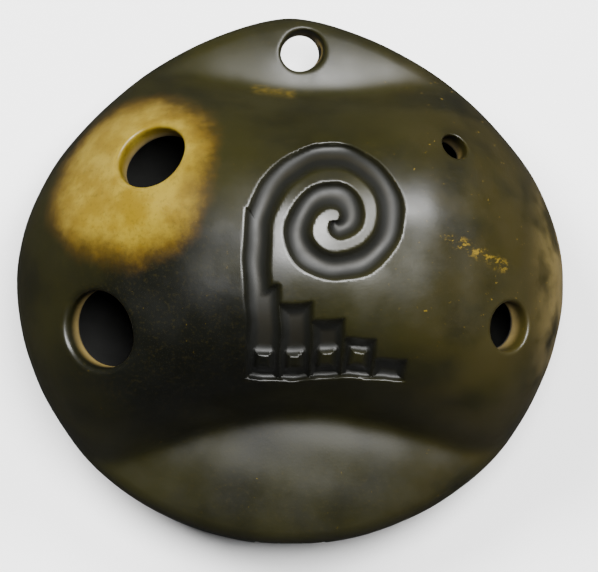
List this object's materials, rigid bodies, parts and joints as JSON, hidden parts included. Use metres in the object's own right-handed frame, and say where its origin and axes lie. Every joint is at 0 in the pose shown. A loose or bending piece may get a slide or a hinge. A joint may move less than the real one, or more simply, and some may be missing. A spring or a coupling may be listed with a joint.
{
  "type": "ocarina",
  "caption": "Pinched clay pendant flute: a hollow pebble-shaped chamber with finger holes in its front, a windway and window in its lower end and a cord hole in its upper end.",
  "frame": {"origin": "centre of the plan on the small flat of the back that the ocarina rests on", "axes": "+Z out of the front face with the finger holes; +Y from the mouthpiece to the hanging lug; +X to the right seen from the front"},
  "size_m": [0.08, 0.0764, 0.0415],
  "materials": {
    "smoked_clay": "burnished, smoke fired",
    "slip": "burnished clay slip"
  },
  "bodies": {
    "root": {"front_shell": "smoked_clay", "back_shell": "smoked_clay", "seam_slip": "slip", "hanging_lug": "smoked_clay", "lug_slip": "slip", "mouthpiece_roof": "smoked_clay", "mouthpiece_floor": "smoked_clay", "windway_slip": "slip", "mouthpiece_slip": "slip"}
  },
  "joints": []
}
